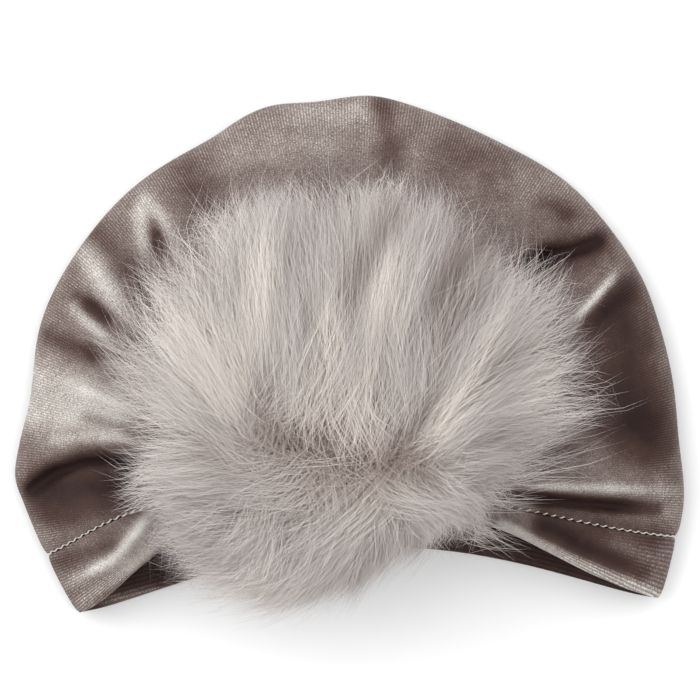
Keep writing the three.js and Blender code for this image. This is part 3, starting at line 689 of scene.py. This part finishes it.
# How hair leans and reaches by how far it roots from the parting, in degrees, where it bulges
# round the fur, and where it is combed aside.
COMB = {
    "polar": [6, 28, 48, 66, 84, 101],
    "lean": [46, 40, 33, 26, 16, 6],
    "reach": [0.97, 1.0, 1.0, 1.0, 0.99, 0.97],
}
BULGES = [{"turn": 58, "width": 17, "most": 0.14}, {"turn": 22, "width": 16, "most": -0.05}]
SWEEP_BELOW = {"turn": 10, "width": 48, "most": -30}
SWEEPS_ABOVE = [{"turn": 248, "width": 42, "most": -34}, {"turn": 112, "width": 42, "most": 24}]
# Chance in a lock and in a hair of it. What a stray hair has more of is its second number.
LENGTH = {"lock": (0.72, 1.0), "hair": (0.45, 1.0), "bias": 0.7}
HOLD = (0.5, 0.95)
CURL = {"lock": 9, "parted": 3, "hair": 2.5, "stray": 10}
ROOTS = {"polar": (5.0, 3), "turn": (5.5, 4), "parted": 40, "across": 3.2, "along": 3}
DEPTH = {"root": (0.45, 0.6), "parted": 0.30, "tip": (0.93, 1.03), "stray": 0.05}
RAGGED = {"long": 0.30, "bias": 2.2, "short": 0.07}
TINT = {"plain": 0.42, "up": 0.06, "drift": 0.07, "drift_up": 0.10, "lock": 0.05, "hair": 0.06}

# How the hair falls into tufts, in mm over the table as the creases above: the tone paints shade on
# the hair below 0 and light above it, and lift lets the hair sink into a gap or stand up in a
# crest. Columns: line, width, painted tone, lift.
TUFTS = [
    ([(-26.4, 26), (-27, 15)], 4.6, 0.72, 1.5),
    ([(-28, 10), (-33, -4)], 6.0, 0.30, 0.5),
    ([(-52.5, 12), (-48.3, -4.2), (-49.5, -17)], 9, 0.32, 0.5),
    ([(-40.5, 6), (-37.5, -12)], 6, 0.18, 0.5),
    ([(10.4, 24), (8.4, 12)], 4.2, 0.66, 1.5),
    ([(7, 8), (4.6, -9)], 3.4, 0.34, 1.0),
    ([(-6, 9), (-5.6, -3)], 3.8, 0.50, 1.5),
    ([(3, -12.3), (-1, -22)], 3, 0.12, 0.5),
    ([(44.4, 7.5), (37.8, -9), (27.9, -22.5)], 4.5, 0.55, 1.5),
    ([(21.3, 27.3), (14.7, 7.5)], 4, 0.15, 0.5),
    ([(-61.5, -16), (-61, -42)], 5, 0.15, 0),
    ([(-22, -65), (-31.8, -73)], 4.5, 0.30, 0),
    ([(64, -2.4), (51, -17.4)], 5, 0.20, 0),
    ([(13.4, 43), (5.2, 28), (0.6, 17.4)], 3.6, -0.62, -4.5),
    ([(35.5, 31), (29, 22.5), (23.5, 13)], 2.6, -0.72, -5.0),
    ([(40, 27), (27.9, 2.4)], 7, -0.15, -1.0),
    ([(-12, 15), (-13.2, 4.5)], 2, -0.35, -2.5),
    ([(-25.2, -10.2), (-21, -20.7), (-12, -29.1), (-3.6, -33.9)], 3.6, -0.20, -2.0),
    ([(-27, -14), (-23, -27)], 5.0, -0.20, -2.0),
    ([(-31, -27.5), (-8, -29.5)], 2.0, -0.26, -2.0),
    ([(15, -29), (23, -37)], 4.8, -0.85, -4.5),
    ([(25.5, -11), (18, -25)], 2.4, -0.36, -3.0),
    ([(-39.9, -20.7), (-38.4, -45.6)], 5.5, -0.22, -2.0),
    ([(-49.5, -22.5), (-45, -30)], 4, -0.20, -1.5),
    ([(-15, -49), (-31.8, -52)], 3, -0.15, -1.5),
    ([(-34.8, 27), (-32.4, 17)], 2.5, -0.28, -2.5),
    ([(-19, 35), (-20, 18)], 2.4, -0.25, -2.0),
    ([(49.6, 10), (45, 0)], 2.6, -0.32, -2.5),
    ([(-3, 45), (15, 37)], 7, -0.15, 0),
    ([(31.5, 40), (41, 31)], 6, -0.20, 0),
    ([(-3, -38), (3, -40)], 4, 0.04, -1.0),
    ([(-10, 7), (14, 9)], 12, 0.20, 0),
    ([(-15, -34), (3, -39)], 4.5, 0.24, 0.5),
    ([(-12, -66), (10, -56)], 7, 0.22, 0),
    ([(4, -50), (22, -50)], 8, 0.04, 0),
    ([(-33, -70), (-22, -76), (-4, -78)], 6, 0.35, 0),
]
# Loose ends that lie over the velvet round the fur, from inside the fur to their tips, in mm. Those
# past the hem hang no lower than low. Columns: from, to, spread, number of hairs, low.
WISPS = [
    ((44, -28), (81, -14.5), 3.6, 130, 0),
    ((44, -31), (77, -20), 4.0, 90, 0),
    ((40, -36), (82, -27), 4.5, 34, 0),
    ((40, -39), (76, -35), 4.0, 30, 0),
    ((50, -12), (76, 4), 4.5, 80, 0),
    ((50, 0), (72, 13), 4.0, 50, 0),
    ((54, 8), (65, 25), 3.4, 90, 0),
    ((36, -44), (60, -45.5), 3.0, 30, 0),
    ((34, -50), (55, -61), 3.0, 26, 18),
    ((34, -52), (46, -58), 4.0, 60, 18),
    ((-54, -10), (-77, 3), 5.0, 130, 0),
    ((-56, -16), (-75, -9), 5.0, 80, 0),
    ((-56, -36), (-70, -39), 3.4, 80, 0),
    ((-56, -42), (-72, -46.5), 3.0, 50, 0),
    ((-46, -57), (-57, -55), 3.4, 70, 18),
    ((-38, -66), (-52, -67), 3.2, 70, 18),
    ((-50, 12), (-65, 25), 4.5, 90, 0),
    ((-36, 32), (-44, 44), 5.0, 70, 0),
    ((8, 38), (11, 51.5), 6.0, 70, 0),
]

# Heights of the velvet under the fur, on a grid over the table, each the highest nearby.
grid_x = np.arange(-95, 96, HEIGHT_STEP_MM) * MM
grid_y = np.arange(-90, 66, HEIGHT_STEP_MM) * MM
ground = np.array([[cloth_height(a, b) for b in grid_y] for a in grid_x])
padded = np.pad(ground, 2, mode="edge")
ground = np.max([
    padded[2 + i : 2 + i + len(grid_x), 2 + j : 2 + j + len(grid_y)]
    for i in (-2, -1, 0, 1, 2) for j in (-2, -1, 0, 1, 2) if abs(i) + abs(j) < 4
], axis=0)


def ground_under(x, y):
    i = np.clip((x - grid_x[0]) / (HEIGHT_STEP_MM * MM), 0, len(grid_x) - 1.001)
    j = np.clip((y - grid_y[0]) / (HEIGHT_STEP_MM * MM), 0, len(grid_y) - 1.001)
    i0, j0 = i.astype(int), j.astype(int)
    fi, fj = i - i0, j - j0
    low = ground[i0, j0] * (1 - fj) + ground[i0, j0 + 1] * fj
    high = ground[i0 + 1, j0] * (1 - fj) + ground[i0 + 1, j0 + 1] * fj
    return low * (1 - fi) + high * fi


def rest_height(x, y):
    """The lowest that hair lies: on the velvet, and past the hem on its own overhang."""
    past = smooth(-y, OVERHANG["from"], OVERHANG["to"])
    return (ground_under(x, y) + CLEARANCE) * (1 - past) + OVERHANG["low"] * past


def hair_place(polar, turn, share, lift):
    """A place in the fur: polar is 0 at the parting, turn goes round it and share is 1 outside."""
    p, t = np.radians(polar), np.radians(turn)
    lean = np.radians(PARTING["lean"]) * np.maximum(np.cos(p), 0)
    x, y, z = np.sin(p) * np.sin(t), -np.sin(p) * np.cos(t), np.cos(p)
    y, z = y * np.cos(lean) - z * np.sin(lean), y * np.sin(lean) + z * np.cos(lean)
    around = np.degrees(np.arctan2(y, x)) % 360 / PLAN_STEP
    i = around.astype(int) % len(PLAN_REACH)
    mix = (1 - np.cos(np.pi * (around - np.floor(around)))) / 2
    side = PLAN_REACH[i] * (1 - mix) + PLAN_REACH[(i + 1) % len(PLAN_REACH)] * mix
    upright = np.where(z > 0, STANDS, HANGS)
    reach = share / np.hypot(np.hypot(x, y) / side, z / upright)
    place = np.stack([x * reach, y * reach, z * reach], axis=-1) + HEART
    place[..., 2] = np.maximum(place[..., 2], rest_height(place[..., 0], place[..., 1]) + lift)
    return place


def comb_sweep(turn, polar):
    """The hair is combed to the left below the parting, and up over the crown at both sides."""
    def beside(side):
        away = (turn - side["turn"] + 180) % 360 - 180
        return np.exp(-((away / side["width"]) ** 2))

    sweep = SWEEP_BELOW["most"] * beside(SWEEP_BELOW)
    upper = 1 - smooth(polar, 60, 92)
    for side in SWEEPS_ABOVE:
        sweep = sweep + side["most"] * upper * beside(side)
    return sweep


def drift(table, polar, turn):
    """Smooth chance over the fur, mixed between the rows of a table and round its turn."""
    rows, columns = table.shape
    p = np.clip(polar / 125 * (rows - 1), 0, rows - 1.001)
    t = turn % 360 / 360 * columns
    i, j = p.astype(int), t.astype(int) % columns
    fi, fj = smooth(p - i, 0, 1), smooth(t - np.floor(t), 0, 1)
    k = (j + 1) % columns
    near = table[i, j] * (1 - fj) + table[i, k] * fj
    return near * (1 - fi) + (table[i + 1, j] * (1 - fj) + table[i + 1, k] * fj) * fi


def tufted(lines, tints):
    """Lets the hair rise and sink, and paints shade and light on it, by the tufts it belongs to."""
    weight = np.array([0, 0.7, 1, 1])
    for line, width, painted_tone, lift in TUFTS:
        near = nearness(lines[..., 0], lines[..., 1], line, width)
        lines[..., 2] += lift * MM * near * weight
        tints = tints + painted_tone * near[:, 2]
    low = rest_height(lines[..., 0], lines[..., 1])
    lines[:, 1:, 2] = np.maximum(lines[:, 1:, 2], low[:, 1:])
    return lines, np.clip(tints, 0, 1)


def arched(root, bend, tip):
    """Places along hairs that bend evenly from their roots to their tips."""
    s = HAIR_STATIONS[:, None]
    return (1 - s) ** 2 * root + 2 * s * (1 - s) * bend + s**2 * tip


def lay_hair(chance, lock_polar, lock_turn, count, loose):
    """Lines of hairs: one row of places from root to tip for each hair, with its tint."""
    locks = (len(lock_polar), 1)
    shape = (len(lock_polar), count)
    polar_now, turn_now = lock_polar[:, None], lock_turn[:, None]
    comb = np.interp(polar_now, COMB["polar"], COMB["lean"])
    comb = comb * chance.uniform(0.75, 1.2, shape)
    full = np.interp(polar_now, COMB["polar"], COMB["reach"])
    upward = 0.5 - 0.5 * np.cos(np.radians(turn_now))
    full = full * (1 + 0.04 * smooth(upward, 0.8, 1) + chance.normal(0, 0.03, locks))
    full = full + 0.05 * drift(TUFT_REACH, polar_now, turn_now)
    for bulge in BULGES:
        full = full + bulge["most"] * np.exp(-(((turn_now - bulge["turn"]) / bulge["width"]) ** 2))
    length = chance.uniform(*LENGTH["hair"], shape) ** LENGTH["bias"]
    length = length * chance.uniform(*LENGTH["lock"], locks)
    hold = chance.uniform(*HOLD, locks) * (1 - loose)
    near_parting = np.exp(-((polar_now / PARTING["polar"]) ** 2))
    curl = chance.normal(0, 1, locks) * (CURL["lock"] - CURL["parted"] * near_parting)
    curl = curl + chance.normal(0, CURL["hair"] + CURL["stray"] * loose, shape)
    off_polar = chance.normal(0, ROOTS["polar"][0] + ROOTS["polar"][1] * loose, shape)
    wide = 1 / np.maximum(np.sin(np.radians(polar_now + 12)), 0.25)
    off_turn = chance.normal(0, ROOTS["turn"][0] + ROOTS["turn"][1] * loose, shape) * wide
    parted = chance.normal(0, 1, shape) * ROOTS["parted"] * near_parting**5
    polar_root = np.abs(polar_now + off_polar)
    turn_root = turn_now + off_turn + parted
    polar_tip = np.abs(polar_now + off_polar * (1 - hold) + comb * length)
    sweep = comb_sweep(turn_now, polar_now) + curl + 8 * drift(TUFT_LEAN, polar_now, turn_now)
    turn_tip = turn_now + off_turn * (1 - hold) + sweep * length
    root_share = chance.uniform(*DEPTH["root"], shape) + DEPTH["parted"] * near_parting
    # Round the rim the longest hairs stand out past the rest, most at the sides.
    sides = (0.35 + 0.65 * smooth(upward, 0.15, 0.5)) * (1 - 0.75 * smooth(upward, 0.72, 0.95))
    ragged = RAGGED["long"] * chance.uniform(0, 1, shape) ** RAGGED["bias"] - RAGGED["short"]
    ragged = smooth(polar_tip, 62, 84) * sides * ragged
    least, most = DEPTH["tip"]
    tip_share = full * (chance.uniform(least, most + DEPTH["stray"] * loose, shape) + ragged)
    tip_share = root_share + (tip_share - root_share) * (1 - (1 - length) ** 1.9)
    lift = chance.uniform(0, 3.5 + 3 * loose, shape) * MM
    root = hair_place(polar_root, turn_root, root_share, 0)
    bend = hair_place(
        polar_root + 0.42 * (polar_tip - polar_root),
        turn_root + 0.30 * (turn_tip - turn_root),
        root_share + 0.92 * (tip_share - root_share),
        lift,
    )
    tip = hair_place(polar_tip, turn_tip, tip_share, lift)
    lines = arched(root[:, :, None], bend[:, :, None], tip[:, :, None])
    # The parting is a short line rather than a point. The roots near it are set along it, and
    # those of hair that leans up and aside are set at the end on that side.
    aside = np.sin(np.radians(turn_now))
    end = np.where(aside > 0, PARTING["right"], PARTING["left"])
    slide = chance.uniform(PARTING["left"], PARTING["right"], locks)
    slide = slide + (end - slide) * aside**2 * smooth(upward, 0.3, 0.6)
    slide = slide + chance.normal(0, ROOTS["along"], shape)
    slide = (slide * near_parting)[:, :, None] * (1 - 0.75 * HAIR_STATIONS)
    lines[..., 0] += slide * MM
    lines[..., 1] += PARTING["sag"] * slide**2 * MM
    across = (chance.normal(0, ROOTS["across"], shape) * near_parting)[:, :, None]
    lines[..., 1] += across * (1 - HAIR_STATIONS) * MM
    drifting = TINT["drift"] + TINT["drift_up"] * upward
    tints = TINT["plain"] + TINT["up"] * upward
    tints = tints + drifting * drift(TUFT_TONE, polar_now, turn_now)
    tints = tints + chance.normal(0, TINT["lock"], locks)
    tints = tints + chance.normal(0, TINT["hair"] + TINT["hair"] * loose, shape)
    return tufted(lines.reshape(-1, len(HAIR_STATIONS), 3), tints.ravel())


def lay_wisps(chance):
    """Loose ends that leave the fur low down and lie out over the velvet."""
    lines, tints = [], []
    for inside, outside, spread, count, low in WISPS:
        start = np.array(inside) + chance.normal(0, spread * 0.9, (count, 2))
        way = np.array(outside) - np.array(inside)
        ends = np.array(inside) + way * chance.uniform(0.55, 1.0, (count, 1))
        ends = ends + chance.normal(0, spread * 0.75, (count, 2))
        aside = chance.normal(0, 0.07, (count, 1)) * np.array([-way[1], way[0]])
        bends = (start + ends) / 2 + aside
        root = np.column_stack([start * MM, chance.uniform(24, 40, count) * MM])
        bend = np.column_stack([bends * MM, chance.uniform(18, 34, count) * MM])
        tip = np.column_stack([ends * MM, np.zeros(count)])
        lowest = np.maximum(rest_height(tip[:, 0], tip[:, 1]), low * MM)
        tip[:, 2] = lowest + chance.uniform(0, 5, count) * MM
        lines.append(arched(root[:, None], bend[:, None], tip[:, None]))
        tints.append(chance.normal(0.5, 0.12, count))
    return tufted(np.concatenate(lines), np.concatenate(tints))


def unit(ways):
    return ways / (np.linalg.norm(ways, axis=2, keepdims=True) + 1e-12)


def hair_mesh(name, lines, widths, tints, roll):
    """Each hair is a thin three-sided needle, closed at its root and pointed at its tip."""
    count, stations = lines.shape[0], lines.shape[1]
    rings = stations - 1
    way = unit(np.gradient(lines, axis=1))
    puff = unit((lines - HEART + [0, 0, PUFF_LIFT]) / PUFF_RADII**2)
    side = unit(np.cross(way, puff))
    up = np.cross(side, way)
    points = np.empty((count, rings * HAIR_SIDES + 1, 3))
    normals = np.empty_like(points)
    for k in range(rings):
        for m in range(HAIR_SIDES):
            a = roll + 2 * np.pi * m / HAIR_SIDES
            ring = side[:, k] * np.cos(a)[:, None] + up[:, k] * np.sin(a)[:, None]
            at = k * HAIR_SIDES + m
            points[:, at] = lines[:, k] + ring * (widths * HAIR_GIRTHS[k] / 2)[:, None]
            normals[:, at] = ring * (1 - HAIR_FLUFF) + puff[:, k] * HAIR_FLUFF
    points[:, -1] = lines[:, -1]
    normals[:, -1] = puff[:, -1]
    faces = []
    station = np.append(np.repeat(HAIR_STATIONS[:-1], HAIR_SIDES), 1.0)
    for k in range(rings - 1):
        for m in range(HAIR_SIDES):
            a, b = k * HAIR_SIDES + m, k * HAIR_SIDES + (m + 1) % HAIR_SIDES
            faces.append([a, a + HAIR_SIDES, b + HAIR_SIDES, b])
    last = (rings - 1) * HAIR_SIDES
    for m in range(HAIR_SIDES):
        faces.append([last + m, rings * HAIR_SIDES, last + (m + 1) % HAIR_SIDES])
    faces.append([0, 1, 2])
    one = np.concatenate(faces)
    sizes = np.array([len(f) for f in faces])
    each = rings * HAIR_SIDES + 1
    loops = (one[None, :] + each * np.arange(count)[:, None]).ravel()
    totals = np.tile(sizes, count)
    starts = np.concatenate([[0], np.cumsum(totals)[:-1]])
    mesh = bpy.data.meshes.new(name)
    mesh.vertices.add(count * each)
    mesh.vertices.foreach_set("co", points.astype(np.float32).ravel())
    mesh.loops.add(len(loops))
    mesh.loops.foreach_set("vertex_index", loops.astype(np.int32))
    mesh.polygons.add(len(totals))
    mesh.polygons.foreach_set("loop_start", starts.astype(np.int32))
    strand = mesh.uv_layers.new(name="strand")
    v = np.tile(station[one], count)
    u = np.repeat(tints, len(one))
    strand.data.foreach_set("uv", np.column_stack([u, v]).astype(np.float32).ravel())
    mesh.update(calc_edges=True)
    mesh.validate()
    mesh.shade_smooth()
    # Hair in a mass catches light as the tuft it lies in does, so its shading leans to the tuft's.
    mesh.normals_split_custom_set_from_vertices(unit(normals).reshape(-1, 3))
    return new_piece(name, mesh)


def fur_material():
    """Cream hair with greige tips and roots painted darker taupe as the shade deep in the fur; each
    tuft is a little lighter or darker, at random and by painted shade and light.
    """
    material, tree, shader = new_finish("cream_fur")
    strand = add(tree, "ShaderNodeUVMap", -1100, 0, uv_map="strand")
    split = add(tree, "ShaderNodeSeparateXYZ", -900, 0, {0: strand.outputs["UV"]})
    both = add(tree, "ShaderNodeMix", -400, 50, data_type="RGBA", blend_type="MULTIPLY")
    feed(tree, both, {
        "Factor": 1.0,
        "A": add_ramp(tree, -700, 150, split.outputs["Y"], LENGTH_COLOURS_AND_PAINTED_ROOT_SHADE),
        "B": add_ramp(tree, -700, -150, split.outputs["X"], TINT_SHADES),
    })
    feed(tree, shader, {
        "Base Color": both.outputs["Result"], "Roughness": 0.6, "Specular IOR Level": 0.15,
    })
    return material


def add_fur(name, lines, tints):
    widths = chance.uniform(*HAIR_WIDTHS, len(lines)) * MM
    fur = hair_mesh(name, lines, widths, tints, chance.uniform(0, 2 * np.pi, len(lines)))
    fur.data.materials.append(FUR)
    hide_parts("pompom")
    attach(fur, "root")


FUR = fur_material()
chance = np.random.default_rng(23)
TUFT_REACH, TUFT_LEAN, TUFT_TONE = (chance.normal(0, 1, (5, 44)) for _ in range(3))
order = np.arange(LOCKS)
spread = np.linspace(0, 1, LOCKS) ** 1.2
lock_polar = math.cos(FIRST_LOCK) * (1 - spread) + math.cos(LAST_LOCK) * spread
lock_polar = np.degrees(np.arccos(lock_polar))
lock_turn = (order * GOLDEN_TURN + chance.normal(0, 6, LOCKS)) % 360
for n, name in enumerate(FUR_PIECES):
    mine = order[n * LOCKS // len(FUR_PIECES) : (n + 1) * LOCKS // len(FUR_PIECES)]
    some = mine[::STRAY_EVERY]
    combed = lay_hair(chance, lock_polar[mine], lock_turn[mine], HAIRS_PER_LOCK, 0.0)
    strays = lay_hair(chance, lock_polar[some], lock_turn[some], STRAYS_PER_LOCK, 1.0)
    add_fur(name, *(np.concatenate(pair) for pair in zip(combed, strays)))
# The overhang past the hem is as thick as the rest, and the loose ends lie round the whole.
below = np.arange(FRINGE["locks"])
fringe_polar = FRINGE["polar"] + FRINGE["deep"] * (below * 0.618 % 1)
fringe_turn = FRINGE["turn"] + FRINGE["round"] * below / FRINGE["locks"]
fringe = lay_hair(chance, fringe_polar, fringe_turn, FRINGE["hairs"], 0.0)
add_fur("fur_wisps", *(np.concatenate(pair) for pair in zip(fringe, lay_wisps(chance))))

# The stuffed head under the hair, with its short dark undercoat.
bpy.ops.object.select_all(action="DESELECT")
bpy.ops.mesh.primitive_uv_sphere_add(segments=48, ring_count=24, radius=1, location=(0, 0, 0))
head = bpy.context.object
head.name = "fur_head"
head_points = points_of(head)
head_polar = np.degrees(np.arccos(np.clip(head_points[:, 2], -1, 1)))
head_turn = np.degrees(np.arctan2(head_points[:, 0], -head_points[:, 1]))
put_points(head, hair_place(head_polar, head_turn, np.full(len(head_polar), HEAD_SHARE), 0.0))
head.data.shade_smooth()
undercoat, undercoat_tree, undercoat_shader = new_finish("dark_undercoat")
undercoat_place = add(undercoat_tree, "ShaderNodeTexCoord", -900, 0)
undercoat_noise = add(undercoat_tree, "ShaderNodeTexNoise", -700, 0, {
    "Vector": undercoat_place.outputs["Object"], "Scale": 900, "Detail": 4,
}).outputs["Fac"]
undercoat_shades = [(0, (0.20, 0.155, 0.14)), (1, (0.42, 0.35, 0.32))]
feed(undercoat_tree, undercoat_shader, {
    "Base Color": add_ramp(undercoat_tree, -450, 100, undercoat_noise, undercoat_shades),
    "Normal": add_bump(undercoat_tree, undercoat_noise, 1.0, 0.8 * MM),
    "Roughness": 0.9,
})
head.data.materials.append(undercoat)
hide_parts("pompom")
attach(head, "root")


# The table
# A plain pale table under soft light from the upper left, as in a product studio.
bpy.ops.mesh.primitive_plane_add(size=6, location=(0, 0, 0))
table = bpy.context.object
table.name = "table"
table_top, table_tree, table_shader = new_finish("pale_table")
feed(table_tree, table_shader, {"Base Color": (0.94, 0.94, 0.94, 1), "Roughness": 0.9})
table.data.materials.append(table_top)

LIGHTS = [
    {"name": "key", "turn": 145, "rise": 46, "away": 1.3, "size": 1.2, "watts": 10},
    {"name": "fill", "turn": 20, "rise": 65, "away": 1.4, "size": 1.2, "watts": 5},
]
for lamp in LIGHTS:
    turn, rise = math.radians(lamp["turn"]), math.radians(lamp["rise"])
    way = Vector((math.cos(turn) * math.cos(rise), math.sin(turn) * math.cos(rise), math.sin(rise)))
    bpy.ops.object.light_add(type="AREA", location=way * lamp["away"])
    light = bpy.context.object
    light.name = lamp["name"]
    light.data.size = lamp["size"]
    light.data.energy = lamp["watts"]
    light.rotation_euler = way.to_track_quat("Z", "Y").to_euler()
world = bpy.data.worlds.new("studio")
bpy.context.scene.world = world
world.use_nodes = True
sky = world.node_tree.nodes["Background"]
feed(world.node_tree, sky, {"Color": (1, 1, 1, 1), "Strength": 0.95})
bpy.context.scene.view_settings.view_transform = "Standard"
